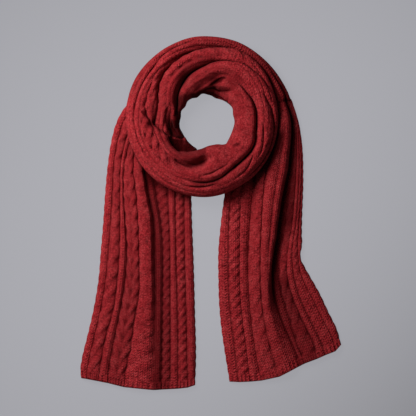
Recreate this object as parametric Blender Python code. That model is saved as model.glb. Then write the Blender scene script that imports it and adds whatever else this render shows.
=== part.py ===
# A long cable-knit wool scarf laid flat: a neck loop wound in one and a half turns, and two tails.
# The strip runs: left tail, inner turn, front of the loop, outer turn, right tail.
# It lies on the surface z = 0, seen from above with the hems towards -Y. The tables are in millimetres.

import bpy
import numpy as np

NAME = "knit_scarf"
MM = 0.001
WOOL_RED = (0.33, 0.012, 0.016, 1.0)

LOOP_X, LOOP_Y = -7.5, 189.0    # middle of the neck loop
WALL = 6.5                      # chunky knit, measured over its ribs
SEAM = 0.3                      # space between stretches that meet end to end
LOWER_TOP = 14.0                # top of a stretch where another lies on it
UPPER_FLOOR = 14.4              # underside of a stretch that lies on another
EDGE = 5.0                      # height of a rolled edge
SLOPE = 1.3                     # how steeply a stretch rises beside the one that lies on it
TUCK = 16.0                     # how far the outer turn reaches in under the inner one
CABLE_PITCH = 18.5              # one crossing of a narrow cable

# The loop is one spiral strip. Clock is in degrees from 12 o'clock, clockwise, and runs on past 360.
SPIRAL = (
    # clock, inner edge, outer edge, crest height
    (-132, 57.5, 110.0, 16.0),
    (-118, 56.5, 110.0, 20.0),
    (-107, 57.5, 109.0, 25.0),
    (-100, 56.5, 106.0, 29.0),
    (-85, 53.0, 101.5, 36.0),
    (-72, 54.0, 102.0, 40.0),
    (-60, 50.5, 111.0, 42.5),
    (-47, 53.0, 121.5, 44.5),
    (-36, 51.5, 127.5, 46.0),
    (-25, 48.0, 132.0, 47.5),
    (-10, 52.0, 138.0, 49.0),
    (0, 49.5, 141.5, 50.0),
    (12, 47.5, 146.0, 50.5),
    (20, 45.5, 150.0, 51.0),
    (35, 48.0, 151.0, 52.0),
    (50, 52.0, 149.0, 52.5),
    (66, 55.5, 144.5, 53.0),
    (80, 53.0, 142.5, 54.0),
    (95, 55.5, 142.5, 55.0),
    (115, 56.0, 144.0, 56.0),
    (125, 57.5, 145.0, 56.0),
    (135, 60.0, 146.5, 56.0),
    (143, 62.5, 148.0, 56.0),
    (150, 59.0, 148.5, 56.0),
    (157, 55.0, 150.0, 56.0),
    (165, 53.5, 152.5, 56.0),
    (180, 55.0, 156.0, 56.0),
    (190, 60.5, 157.0, 55.0),
    (196, 64.0, 157.5, 54.0),
    (205, 72.0, 158.0, 53.0),
    (213, 79.0, 158.5, 52.5),
    (221, 86.5, 159.0, 51.5),
    (230, 88.0, 159.5, 50.5),
    (240, 87.0, 160.0, 49.5),
    (246, 86.0, 160.0, 48.5),
    (252, 92.0, 160.5, 47.0),
    (263, 106.0, 161.5, 45.0),
    (275, 101.5, 162.5, 43.0),
    (288, 102.0, 163.5, 41.0),
    (300, 111.0, 164.5, 38.5),
    (313, 121.5, 164.5, 36.5),
    (324, 127.5, 164.0, 35.0),
    (335, 132.0, 164.5, 33.5),
    (350, 138.0, 165.0, 32.0),
    (360, 141.5, 165.0, 31.0),
    (372, 146.0, 165.0, 30.5),
    (380, 150.0, 165.0, 30.0),
    (395, 151.0, 164.5, 29.5),
    (410, 149.0, 165.5, 27.5),
    (426, 144.5, 168.5, 23.5),
    (437, 143.0, 172.5, 20.0),
)

# Valleys between the gathered rolls of the loop. A roll's valley is sharp and its shoulders round, a trough
# is soft, a shelf stays low all the way inwards, and a step stays low outwards.
FOLDS = (
    # name, shape, reach inwards and outwards, (clock, radius, depth) along it
    ("first roll", "roll", 11, 15, ((-92, 58, 0), (-80, 60, 14), (-65, 65, 22), (-50, 75, 27),
                                    (-35, 85, 29), (-20, 95, 28), (-5, 104, 25), (5, 112, 20),
                                    (12, 117, 13), (20, 123, 8), (32, 130, 5), (48, 135, 7), (60, 137, 6),
                                    (70, 140, 0))),
    ("cable on first roll", "trough", 8, 8, ((-55, 107, 0), (-42, 111, 3), (-30, 115, 5), (-18, 120, 5),
                                             (-6, 125, 3), (6, 130, 0))),
    ("hollow lap", "shelf", 12, 9, ((-120, 78, 0), (-110, 79, 10), (-95, 83, 12), (-85, 83, 8),
                                    (-75, 82, 6), (-64, 80, 0))),
    ("hollow", "trough", 9, 8, ((-122, 74, 0), (-114, 76, 14), (-103, 76, 18), (-94, 75, 15), (-84, 72, 6),
                                (-76, 70, 0))),
    ("second roll", "trough", 13, 14, ((-36, 57, 0), (-26, 59, 3), (-18, 62, 5), (-10, 66, 7), (-3, 71, 8),
                                       (4, 77, 9), (12, 85, 9), (18, 91, 8), (24, 97, 5), (32, 103, 0))),
    ("steep gather", "trough", 12, 8, ((2, 60, 3), (8, 68, 9), (14, 77, 12), (19, 85, 11), (24, 92, 6),
                                       (29, 98, 0))),
    ("rim lap", "shelf", 30, 9, ((-20, 54, 0), (-8, 58, 12), (0, 62, 20), (8, 64, 26), (14, 65, 28),
                                 (20, 63, 28), (27, 65, 26), (33, 69, 20), (39, 74, 12), (46, 78, 0))),
    ("third roll", "roll", 9, 13, ((40, 92, 0), (50, 94, 6), (58, 95, 11), (66, 97, 16), (80, 99, 18),
                                   (95, 99, 18), (105, 101, 18), (115, 106, 20), (125, 108, 22),
                                   (141, 108, 21), (150, 110, 19), (157, 113, 17), (165, 119, 15),
                                   (172, 123, 13), (180, 126, 11), (188, 127, 8), (196, 127, 4),
                                   (206, 128, 0))),
    ("fourth roll", "roll", 11, 9, ((64, 122, 0), (72, 125, 7), (80, 129, 10), (88, 131, 11), (95, 134, 12),
                                    (110, 137, 13), (125, 139, 12), (138, 140, 8), (150, 142, 0))),
    ("short gather", "roll", 7, 7, ((93, 112, 0), (99, 114, 3), (105, 117, 4), (112, 121, 4), (119, 125, 3),
                                    (128, 129, 0))),
    ("cross gather", "roll", 7, 8, ((124, 112, 0), (130, 118, 3), (138, 125, 4), (148, 130, 3),
                                    (157, 133, 0))),
    ("dimple", "trough", 6, 6, ((125, 86, 0), (129, 83, 5), (133, 79, 5), (138, 75, 0))),
    ("low gather", "roll", 7, 7, ((152, 99, 0), (160, 101, 3), (168, 104, 4), (176, 109, 4), (183, 113, 2),
                                  (189, 116, 0))),
    ("front valley", "trough", 18, 14, ((173, 72, 0), (179, 80, 14), (185, 88, 23), (192, 94, 24),
                                        (199, 99, 21), (206, 103, 16), (213, 106, 11), (220, 110, 6),
                                        (227, 112, 0))),
    ("front gather", "roll", 8, 8, ((168, 128, 0), (175, 132, 5), (182, 135, 7), (188, 137, 6),
                                    (194, 139, 3), (200, 140, 0))),
    ("outer gather", "roll", 8, 9, ((232, 138, 0), (250, 142, 3), (262, 145, 4), (275, 146, 4),
                                    (290, 145, 4), (300, 145, 7), (310, 147, 8), (325, 152, 8),
                                    (340, 156, 7), (355, 160, 4), (368, 163, 0))),
    ("lap of the front", "roll", 13, 11, ((256, 107, 0), (263, 111, 8), (269, 115, 12), (276, 122, 17),
                                          (282, 125, 13), (290, 127, 8), (300, 131, 5), (310, 135, 3),
                                          (320, 140, 0))),
    ("edge rib", "step", 6, 14, ((372, 160, 0), (385, 159, 5), (400, 159, 9), (415, 159, 12),
                                 (427, 159, 14), (437, 160, 14))),
)

# Left tail: lines between its knitted columns, from its left edge to its right one.
LEFT_LINES = (
    # name, height at (loop, middle, hem), (y, x) along it
    ("left edge", (5, 5, 4), ((220, -165), (207, -176), (191, -185), (179, -190), (150, -198), (107, -205),
                              (47, -211), (-13, -215), (-73, -220), (-133, -225), (-193, -235),
                              (-253, -249), (-290, -258), (-316, -261), (-330, -259))),
    ("edge groove", (7, 6, 5), ((212, -157), (191, -170), (150, -184), (107, -192), (47, -195), (-73, -203),
                                (-133, -209), (-193, -219), (-253, -233), (-317, -246), (-332, -247))),
    ("cable groove", (8, 7, 5), ((200, -147), (150, -169), (107, -179), (47, -181), (-73, -183),
                                 (-133, -187), (-193, -195), (-253, -212), (-317, -223), (-336, -226))),
    ("long fold", (5, 5, 5), ((188, -138), (150, -158), (107, -171), (47, -176), (-13, -171), (-73, -167),
                              (-133, -171), (-193, -181), (-253, -193), (-317, -204), (-340, -206))),
    ("panel groove", (16, 15, 6), ((175, -132), (107, -155), (35, -149), (7, -147), (-33, -145),
                                   (-73, -144), (-123, -143), (-153, -143), (-183, -147), (-213, -153),
                                   (-243, -157), (-273, -161), (-297, -167), (-348, -174))),
    ("deep fold", (5, 5, 5), ((158, -112.5), (107, -133), (47, -127), (-13, -115), (-73, -113),
                              (-193, -111), (-253, -112), (-354, -115))),
    ("dark groove", (5, 5, 5), ((156, -94), (107, -114), (47, -111), (-13, -101), (-193, -97),
                                (-353, -100))),
    ("cable start", (8, 7, 6), ((154, -80), (130, -80), (107, -85), (47, -86), (-13, -83), (-193, -81),
                                (-352, -81))),
    ("cable end", (8, 7, 6), ((153, -68), (130, -62), (107, -68), (80, -70), (47, -70), (-73, -69),
                              (-193, -65), (-351, -64))),
    ("edge rib groove", (7, 6, 5), ((151, -58), (137, -49), (125, -46), (107, -50), (80, -53), (47, -53),
                                    (-73, -52), (-193, -49), (-349, -46))),
    ("right edge", (5, 5, 4), ((151, -50.7), (144, -45.7), (137, -37.7), (130, -28.7), (120, -28.7),
                               (107, -35.7), (90, -39.7), (30, -38.7), (-13, -37.7), (-73, -35.2),
                               (-193, -31.7), (-300, -29.7), (-344, -31.7))),
)
LEFT_COLUMNS = (
    # kind, rise at (loop, middle, hem), points across
    ("rib", (4, 3.5, 3), 2),
    ("wide cable", (7, 5.5, 4.5), 4),
    ("rib", (7, 4.5, 4), 2),
    ("wide cable", (9, 6, 5), 4),
    ("roll", (9, 11, 9), 6),
    ("rib", (3, 3, 3.5), 2),
    ("cable", (7, 5, 4.5), 4),
    ("rib", (6, 5, 4), 2),
    ("cable", (5, 5, 4.5), 4),
    ("rib", (4, 3.5, 3), 2),
)

# Right tail: the same columns the other way round.
RIGHT_LINES = (
    ("left edge", (5, 5, 4), ((204, 58), (170, 56), (127, 46.5), (83, 33.5), (33, 27), (-23, 20),
                              (-73, 15.5), (-133, 15.5), (-173, 16.5), (-223, 20.5), (-273, 27.5),
                              (-337, 38))),
    ("edge rib groove", (7, 6, 5), ((206, 68), (171, 65), (127, 57), (83, 47), (33, 41), (-73, 38),
                                    (-173, 40), (-223, 45), (-273, 51), (-338, 58))),
    ("cable end", (7, 6, 5), ((208, 79), (172, 77), (127, 71), (83, 65), (33, 61), (-73, 58), (-173, 60),
                              (-223, 65), (-273, 72), (-337, 79))),
    ("deep fold", (5, 4.5, 5), ((213, 102), (173, 103), (127, 98), (83, 90), (33, 84), (-23, 79), (-73, 76),
                                (-133, 76), (-173, 78), (-223, 83), (-273, 90), (-335, 102))),
    ("panel line", (17, 14, 7), ((218, 123), (174, 126), (127, 121), (83, 111), (33, 105), (-23, 102),
                                 (-73, 100), (-133, 100), (-173, 102), (-223, 109), (-273, 121),
                                 (-327, 138))),
    ("long fold", (5, 5, 5), ((224, 150), (193, 162.5), (161, 164.5), (127, 161), (93, 158.5), (61, 151.5),
                              (27, 144.5), (-6, 139), (-39, 134), (-73, 128.5), (-106, 124.5),
                              (-139, 124.5), (-173, 129.5), (-190, 134), (-213, 142), (-264, 165),
                              (-304, 182))),
    ("fold side", (6, 6, 5), ((225, 153), (193, 166), (161, 169), (127, 167), (93, 165), (61, 161),
                              (27, 156), (-6, 151), (-39, 147), (-73, 141), (-106, 138), (-139, 138.5),
                              (-173, 146), (-206, 156), (-273, 177), (-300, 190))),
    ("cable start", (7, 9, 6), ((226, 155.5), (193, 168.5), (171, 172), (127, 172.5), (83, 171), (33, 168),
                                (-23, 163), (-73, 155), (-123, 153), (-173, 166), (-223, 188), (-259, 206),
                                (-291, 214))),
    ("cable groove", (7, 9, 6), ((227, 157.5), (193, 170), (171, 174.5), (127, 177.5), (83, 178),
                                 (33, 175.5), (-23, 171), (-73, 164), (-123, 167), (-173, 181), (-223, 205),
                                 (-263, 224), (-283, 232))),
    ("edge groove", (7, 8, 6), ((227, 160), (193, 171.5), (171, 176.5), (127, 181.5), (83, 182.5),
                                (33, 181), (-23, 177), (-73, 175), (-123, 182), (-173, 206), (-223, 231),
                                (-243, 242), (-276, 250))),
    ("right edge", (5, 5, 4), ((228, 161.5), (193, 172.5), (171, 178), (150, 181.5), (127, 184),
                               (67, 185.5), (-13, 183), (-43, 182.5), (-63, 183), (-79, 180), (-91, 180.5),
                               (-105, 187), (-129, 200.5), (-157, 216.5), (-199, 236.5), (-233, 253),
                               (-263, 261))),
)
RIGHT_COLUMNS = (
    ("rib", (4, 3.5, 3), 2),
    ("cable", (6, 5, 4.5), 4),
    ("rib", (6, 4.5, 4), 2),
    ("wide cable", (12, 9, 5), 4),
    ("brink", (9, 9, 5), 6),
    ("rib", (2, 2, 3), 2),
    ("wide cable", (3, 5, 6), 4),
    ("rib", (3, 3.5, 4.5), 2),
    ("cable", (3, 4, 5), 4),
    ("rib", (3, 3, 3), 2),
)


def curve(points, at):
    """A smooth line through (where, value) points, held at its ends."""
    where, value = np.array(sorted(points), float).T
    slope = np.gradient(value, where)
    at = np.clip(at, where[0], where[-1])
    i = np.clip(np.searchsorted(where, at) - 1, 0, len(where) - 2)
    width = where[i + 1] - where[i]
    t = (at - where[i]) / width
    ahead = t * t * (3 - 2 * t)
    bend = width * (slope[i] * t * (1 - t) ** 2 - slope[i + 1] * t * t * (1 - t))
    return value[i] + (value[i + 1] - value[i]) * ahead + bend


def ease(value):
    t = np.clip(value, 0, 1)
    return t * t * (3 - 2 * t)


def spiral(column, clock):
    return curve([(row[0], row[column]) for row in SPIRAL], clock)


def on_loop(clock, radius):
    angle = np.radians(clock)
    return LOOP_X + radius * np.sin(angle), LOOP_Y + radius * np.cos(angle)


def loop_polar(x, y, near):
    """Clock and radius of points, with the clock within half a turn of near."""
    clock = np.degrees(np.arctan2(x - LOOP_X, y - LOOP_Y))
    return clock + 360 * np.round((near - clock) / 360), np.hypot(x - LOOP_X, y - LOOP_Y)


def fold_depth(clock, x, y):
    """How far the folds press the arch down. A point takes only folds of its own turn of the strip."""
    press = np.zeros_like(x)
    for name, shape, reach_in, reach_out, line in FOLDS:
        first, last = line[0][0], line[-1][0]
        rows, columns = np.nonzero((clock > first - 6) & (clock < last + 6))
        if len(rows) == 0:
            continue
        stops = np.linspace(first, last, int((last - first) / 1.5) + 2)
        line_x, line_y = on_loop(stops, curve([stop[:2] for stop in line], stops))
        depth = np.maximum(curve([(stop[0], stop[2]) for stop in line], stops), 0)
        step_x, step_y, step_depth = np.gradient(line_x), np.gradient(line_y), np.gradient(depth)
        spacing = np.hypot(step_x, step_y)
        away_x, away_y = x[rows, columns][:, None] - line_x, y[rows, columns][:, None] - line_y
        nearest = np.argmin(away_x ** 2 + away_y ** 2, axis=1)
        pick = np.arange(len(rows)), nearest
        away_x, away_y, spacing = away_x[pick], away_y[pick], spacing[nearest]
        step_x, step_y = step_x[nearest] / spacing, step_y[nearest] / spacing
        forward = away_x * step_x + away_y * step_y
        outward = away_y * step_x - away_x * step_y
        away = np.hypot(outward, np.maximum(abs(forward) - spacing * 0.5, 0))
        here = depth[nearest] + step_depth[nearest] * np.clip(forward / spacing, -0.5, 0.5)
        near = np.clip(1 - away / np.where(outward < 0, reach_in, reach_out), 0, 1)
        share = 1 - np.sqrt(1 - near * near)
        if shape == "trough":
            share = ease(near)
        if shape == "roll":
            share = np.where(outward > 0, near ** 2.2, share)
        if shape == "shelf":
            share = np.where(outward < 0, ease((reach_in - away) / 4 + 1), share)
        if shape == "step":
            share = np.where(outward > 0, 0.75 + 0.25 * near ** 2, share)
        press[rows, columns] = np.maximum(press[rows, columns], here * share)
    return press


def loop_top(clock, radius, edge_in, edge_out):
    inner, outer, crest = (spiral(column, clock) for column in (1, 2, 3))
    across = np.clip((radius - inner) / (outer - inner), 0, 1)
    base = edge_in + (edge_out - edge_in) * across
    arch = (1 - abs(2 * across - 1) ** 2.6) ** (1 / 2.6)
    x, y = on_loop(clock, radius)
    return np.maximum(base + (crest - base) * arch - fold_depth(clock, x, y), base)


def tucked(top, outside):
    """Lowers a surface where another stretch lies on it. outside is measured out from that stretch's edge."""
    covered = np.pad(outside < 2, 1, mode="edge")
    rows, columns = top.shape
    near = np.zeros(top.shape, bool)
    for i in range(3):
        for j in range(3):
            near |= covered[i:i + rows, j:j + columns]
    return np.minimum(top, np.where(near, LOWER_TOP, LOWER_TOP + SLOPE * np.maximum(outside, 0)))


def build_wall(name, top, low, floor, inside):
    """Cloth wall: outer points in rows along the stretch, and a plain inside under the columns in inside."""
    rows, columns = top.shape[:2]
    lowest = np.minimum(low, top[:, :, 2] - WALL)
    lowest[1:-1] = np.minimum(np.minimum(lowest[:-2], lowest[2:]), lowest[1:-1])
    under = np.empty((rows, len(inside)))
    for j, column in enumerate(inside):
        first = inside[max(j - 1, 0)]
        last = inside[min(j + 1, len(inside) - 1)]
        under[:, j] = np.maximum(lowest[:, first:last + 1].min(axis=1), floor[:, column])
    points = [tuple(point * MM) for point in top.reshape(-1, 3)]
    for i in range(rows):
        points += [(top[i, c, 0] * MM, top[i, c, 1] * MM, under[i, j] * MM) for j, c in enumerate(inside)]

    def outer(i, c):
        return i * columns + c

    def inner(i, j):
        return rows * columns + i * len(inside) + j

    faces = []
    for i in range(rows - 1):
        last = len(inside) - 1
        for c in range(columns - 1):
            faces.append((outer(i, c), outer(i + 1, c), outer(i + 1, c + 1), outer(i, c + 1)))
        for j in range(last):
            faces.append((inner(i, j), inner(i, j + 1), inner(i + 1, j + 1), inner(i + 1, j)))
        faces.append((outer(i, 0), inner(i, 0), inner(i + 1, 0), outer(i + 1, 0)))
        faces.append((outer(i + 1, columns - 1), inner(i + 1, last), inner(i, last), outer(i, columns - 1)))
    for i, flip in ((0, True), (rows - 1, False)):
        for j in range(len(inside) - 1):
            middle = (inside[j] + inside[j + 1]) // 2
            end = [(inner(i, j), inner(i, j + 1), outer(i, middle))]
            end += [(inner(i, j), outer(i, c + 1), outer(i, c)) for c in range(inside[j], middle)]
            end += [(inner(i, j + 1), outer(i, c + 1), outer(i, c)) for c in range(middle, inside[j + 1])]
            faces += [face[::-1] for face in end] if flip else end
    mesh = bpy.data.meshes.new(name)
    mesh.from_pydata(points, [], faces)
    mesh.validate()
    solid = bpy.data.objects.new(name, mesh)
    bpy.data.collections[NAME].objects.link(solid)
    wool = bpy.data.materials.new(name)
    wool.use_nodes = True
    shader = wool.node_tree.nodes["Principled BSDF"]
    shader.inputs["Base Color"].default_value = WOOL_RED
    shader.inputs["Roughness"].default_value = 0.95
    shader.inputs["Metallic"].default_value = 0.0
    wool.diffuse_color = WOOL_RED
    mesh.materials.append(wool)


def loop_rows(inner_clocks, outer_clocks, rows, columns, tuck=0.0):
    """Straight rows of points across the strip, each from its inner edge to its outer one."""
    share = np.linspace(0, 1, rows)
    inner_clock = inner_clocks[0] + (inner_clocks[1] - inner_clocks[0]) * share
    outer_clock = outer_clocks[0] + (outer_clocks[1] - outer_clocks[0]) * share
    near = (inner_clock + outer_clock) / 2
    hidden = tuck * ease((inner_clock - 270) / 20)
    start = np.array(on_loop(inner_clock, spiral(1, inner_clock) - hidden))
    end = np.array(on_loop(outer_clock, spiral(2, outer_clock)))
    across = np.linspace(0, 1, columns)[:, None, None]
    x, y = (start + (end - start) * across).transpose(1, 2, 0)
    return x, y, near[:, None]


def wrap_inner():
    x, y, near = loop_rows((-131, 150), (-107, 150), 50, 31)
    clock, radius = loop_polar(x, y, near)
    raised = ease((clock - 58) / 10)
    outer_part = ease((radius - spiral(2, clock) + 28) / 8) * ease((clock + 102) / 8)
    floor = UPPER_FLOOR * np.maximum(raised, outer_part)
    top = loop_top(clock, radius, EDGE + UPPER_FLOOR * raised, EDGE + UPPER_FLOOR * ease((clock + 102) / 8))
    top = np.maximum(top, floor + 4)
    front_edge = curve([(row[0] - 360, row[1]) for row in SPIRAL if 206 <= row[0] <= 263], clock)
    top = tucked(top, np.where(clock < -96, front_edge - radius, 99))
    build_wall("wrap_inner", np.dstack((x, y, top)), top - WALL, floor, list(range(0, 31, 2)))


def wrap_front():
    gap = np.degrees(SEAM / 60)
    x, y, near = loop_rows((150 + gap, 263 - gap), (150 + gap / 2, 286 - gap / 2), 27, 29)
    clock, radius = loop_polar(x, y, near)
    floor = np.full_like(x, UPPER_FLOOR)
    top = np.maximum(loop_top(clock, radius, EDGE + UPPER_FLOOR, EDGE + UPPER_FLOOR), floor + 4)
    build_wall("wrap_front", np.dstack((x, y, top)), top - WALL, floor, list(range(0, 29, 2)))


def wrap_outer():
    x, y, near = loop_rows((263, 437), (286, 437), 34, 17, TUCK)
    clock, radius = loop_polar(x, y, near)
    floor = np.zeros_like(x)
    lift = EDGE + UPPER_FLOOR * ease((314 - clock) / 26)
    top = loop_top(clock, radius, lift, lift)
    top = tucked(top, np.where(clock > 266, radius - spiral(1, clock), 99))
    build_wall("wrap_outer", np.dstack((x, y, top)), top - WALL, floor, list(range(0, 17, 2)))


def tail_rows(lines, columns, length, seam):
    """Points along each line between the knitted columns and across each column, from the seam to the hem.
    A brink stays high over most of its width, then drops into the fold beside it."""
    rows = 2 * round(length / CABLE_PITCH)
    share = np.append(np.linspace(0, 0.16, 5)[:-1], np.linspace(0.16, 1, round(rows * 0.84) + 1))
    strand = np.arange(len(share)) % 2 * 2 - 1
    (x1, y1), (x2, y2) = seam
    tilt = (y2 - y1) / (x2 - x1)
    x_lines, y_lines, z_lines = [], [], []
    for name, heights, points in lines:
        start = points[0][1]
        if start > min(x1, x2) - 1:
            points = ((y1 + (start - x1) * tilt - SEAM * np.hypot(1, tilt), start),) + points[1:]
        y = points[0][0] + (points[-1][0] - points[0][0]) * share
        x_lines.append(curve(points, y))
        y_lines.append(y)
        z_lines.append(np.interp(share, (0, 0.45, 1), heights))
    xs, ys, zs = [], [], []
    inside = [0]
    for k, (kind, rises, points) in enumerate(columns):
        rise = np.interp(share, (0, 0.45, 1), rises)
        for step in range(points if k < len(columns) - 1 else points + 1):
            part = step / points
            arch = np.sin(np.pi * part) ** 0.6 if 0 < part < 1 else 0.0
            fall = part
            if kind == "brink":
                fall = 1 - np.sqrt(1 - np.clip((part - 0.66) / 0.24, 0, 1) ** 2)
                arch = np.sin(np.pi * min(part / 0.8, 0.72)) ** 0.6 * (1 - fall)
            cross = 1 + 0.4 * strand * np.cos(np.pi * part) if "cable" in kind else 1.0
            xs.append(x_lines[k] + (x_lines[k + 1] - x_lines[k]) * part)
            ys.append(y_lines[k] + (y_lines[k + 1] - y_lines[k]) * part)
            zs.append(z_lines[k] + (z_lines[k + 1] - z_lines[k]) * fall + rise * arch * cross)
        start = inside[-1]
        if k in (3, 4):
            inside.append(start + points // 2)
        inside.append(start + points)
    return np.array(xs).T, np.array(ys).T, np.array(zs).T, inside


def tail_left():
    seam = on_loop(-131, spiral(1, -131)), on_loop(-107, spiral(2, -107))
    x, y, top, inside = tail_rows(LEFT_LINES, LEFT_COLUMNS, 520, seam)
    clock, radius = loop_polar(x, y, 225)
    outside = np.maximum(radius - spiral(2, clock), spiral(1, clock) - radius)
    top = tucked(top, np.where(y > -30, outside, 99))
    build_wall("tail_left", np.dstack((x, y, top)), top - WALL, np.zeros_like(x), inside)


def tail_right():
    seam = on_loop(77, spiral(1, 437)), on_loop(77, spiral(2, 437))
    x, y, top, inside = tail_rows(RIGHT_LINES, RIGHT_COLUMNS, 530, seam)
    clock, radius = loop_polar(x, y, 110)
    top = tucked(top, np.where(y > -30, radius - spiral(2, clock), 99))
    build_wall("tail_right", np.dstack((x, y, top)), top - WALL, np.zeros_like(x), inside)


for old in list(bpy.data.objects):
    bpy.data.objects.remove(old, do_unlink=True)
group = bpy.data.collections.new(NAME)
bpy.context.scene.collection.children.link(group)
wrap_inner()
wrap_front()
wrap_outer()
tail_left()
tail_right()
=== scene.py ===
import math
import bpy
import numpy as np
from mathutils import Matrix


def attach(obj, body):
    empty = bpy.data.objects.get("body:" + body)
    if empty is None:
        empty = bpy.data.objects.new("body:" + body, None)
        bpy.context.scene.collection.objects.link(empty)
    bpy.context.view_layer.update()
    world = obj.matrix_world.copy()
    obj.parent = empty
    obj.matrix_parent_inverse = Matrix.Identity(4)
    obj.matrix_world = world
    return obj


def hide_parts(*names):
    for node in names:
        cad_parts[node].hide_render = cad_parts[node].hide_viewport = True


# ---------------------------------------------------------------- frame
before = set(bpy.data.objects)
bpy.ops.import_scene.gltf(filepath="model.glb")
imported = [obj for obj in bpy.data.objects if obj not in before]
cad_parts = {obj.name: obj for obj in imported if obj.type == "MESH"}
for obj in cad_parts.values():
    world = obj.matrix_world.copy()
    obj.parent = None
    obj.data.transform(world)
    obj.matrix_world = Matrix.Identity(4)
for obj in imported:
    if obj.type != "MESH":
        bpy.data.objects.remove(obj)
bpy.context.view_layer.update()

# ---------------------------------------------------------------- camera, light and floor
# A long lens straight above the laid-out scarf. A soft key light stands at the upper left, a weak one in
# front, and the room is pale all round. The scarf lies on a floor of pale grey paper.
VIEW_X, VIEW_Y, CAMERA_HEIGHT = -0.0055, 0.011, 8.02
FLOOR_SIZE, FLOOR_HEIGHT = 12, -0.0006
HALF_VIEW = 0.416

scene = bpy.context.scene
scene.view_settings.view_transform = "Standard"
bpy.ops.object.camera_add(location=(VIEW_X, VIEW_Y, CAMERA_HEIGHT), rotation=(0, 0, 0))
camera = bpy.context.object
camera.data.lens = 346.2
camera.data.sensor_width = 36
camera.data.clip_end = 50
scene.camera = camera


def soft_light(place, energy, size):
    """A square light that faces the middle of the scarf."""
    bpy.ops.object.light_add(type="AREA", location=place)
    light = bpy.context.object
    light.data.energy = energy
    light.data.size = size
    light.rotation_mode = "QUATERNION"
    light.rotation_quaternion = (-light.location).to_track_quat("-Z", "Y")


soft_light((-0.88, 0.74, 0.95), energy=40, size=0.75)
soft_light((-0.3, -1.5, 0.9), energy=4, size=1.0)

room = bpy.data.worlds.new("room")
room.use_nodes = True
background = room.node_tree.nodes["Background"]
background.inputs["Color"].default_value = (0.80, 0.88, 1.0, 1)
background.inputs["Strength"].default_value = 0.12
scene.world = room


def add(tree, kind, **sockets):
    """A new node with the given values in its sockets."""
    node = tree.nodes.new(kind)
    for name, value in sockets.items():
        node.inputs[name].default_value = value
    return node


def maths(tree, operation, first, second=None):
    """What a math node makes of one or two values or links."""
    node = tree.nodes.new("ShaderNodeMath")
    node.operation = operation
    for socket, value in zip(node.inputs, (first, second)):
        if value is None:
            continue
        if isinstance(value, (int, float)):
            socket.default_value = value
        else:
            tree.links.new(value, socket)
    return node.outputs[0]


bpy.ops.mesh.primitive_plane_add(size=FLOOR_SIZE, location=(0, 0, FLOOR_HEIGHT))
floor = bpy.context.object
floor.name = "floor"
paper = bpy.data.materials.new("floor_paper")
paper.use_nodes = True
paper_shader = paper.node_tree.nodes["Principled BSDF"]
paper_shader.inputs["Base Color"].default_value = (0.03, 0.03, 0.032, 1)
paper_shader.inputs["Roughness"].default_value = 0.9
paper_shader.inputs["Specular IOR Level"].default_value = 0.0
paper_shader.inputs["Emission Color"].default_value = (0.382, 0.382, 0.412, 1)
floor.data.materials.append(paper)

# The paper's own light falls off from its middle, most of all towards the lower right, and a little more
# than elsewhere towards the upper left.
tree = paper.node_tree
corner = add(tree, "ShaderNodeSeparateXYZ")
tree.links.new(add(tree, "ShaderNodeTexCoord").outputs["Object"], corner.inputs[0])
right = maths(tree, "DIVIDE", corner.outputs["X"], HALF_VIEW)
up = maths(tree, "DIVIDE", corner.outputs["Y"], HALF_VIEW)
fall = maths(tree, "ADD", maths(tree, "POWER", right, 2.0), maths(tree, "POWER", up, 2.0))
for near_side, far_side, weight in ((up, right, 1.0), (right, up, 0.4)):
    beyond = maths(tree, "MAXIMUM", maths(tree, "SUBTRACT", far_side, near_side), 0.0)
    fall = maths(tree, "ADD", fall, maths(tree, "MULTIPLY", maths(tree, "POWER", beyond, 2.0), weight))
glow = maths(tree, "SUBTRACT", 1.0, maths(tree, "MULTIPLY", fall, 0.06))
tree.links.new(maths(tree, "MAXIMUM", glow, 0.6), paper_shader.inputs["Emission Strength"])

# ---------------------------------------------------------------- wrap_inner
# The first turn of the strip, next to the neck hole, from 9 o'clock over the top and down the right side. The
# strip is cable-knit wool, and its gathers roll outwards as it winds. It lies on the second turn.

# Wool: brushed, red and heathered, with V-shaped stitches in columns along the strip, and a soft sheen.
# The "knit" UV map is in millimetres of cloth, across and along. "hollow" is painted shade, 1 where the
# colour is darkened fully to a near-black red: in folds and wherever shade falls.
HALF_STITCH, STITCH_LENGTH = 2.8, 5.2
DARK_RED, RED, PALE_RED = (0.12, 0.004, 0.006, 1), (0.29, 0.0175, 0.0215, 1), (0.50, 0.067, 0.069, 1)
# The near-black red that painted shade darkens the wool to.
PAINTED_SHADE_RED = (0.022, 0.0006, 0.001, 1)


def noise(tree, place, scale, detail, roughness):
    """A noise over the cloth, about 0.5 on average."""
    node = add(tree, "ShaderNodeTexNoise", Scale=scale, Detail=detail, Roughness=roughness)
    tree.links.new(place, node.inputs["Vector"])
    return node.outputs["Fac"]


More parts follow.
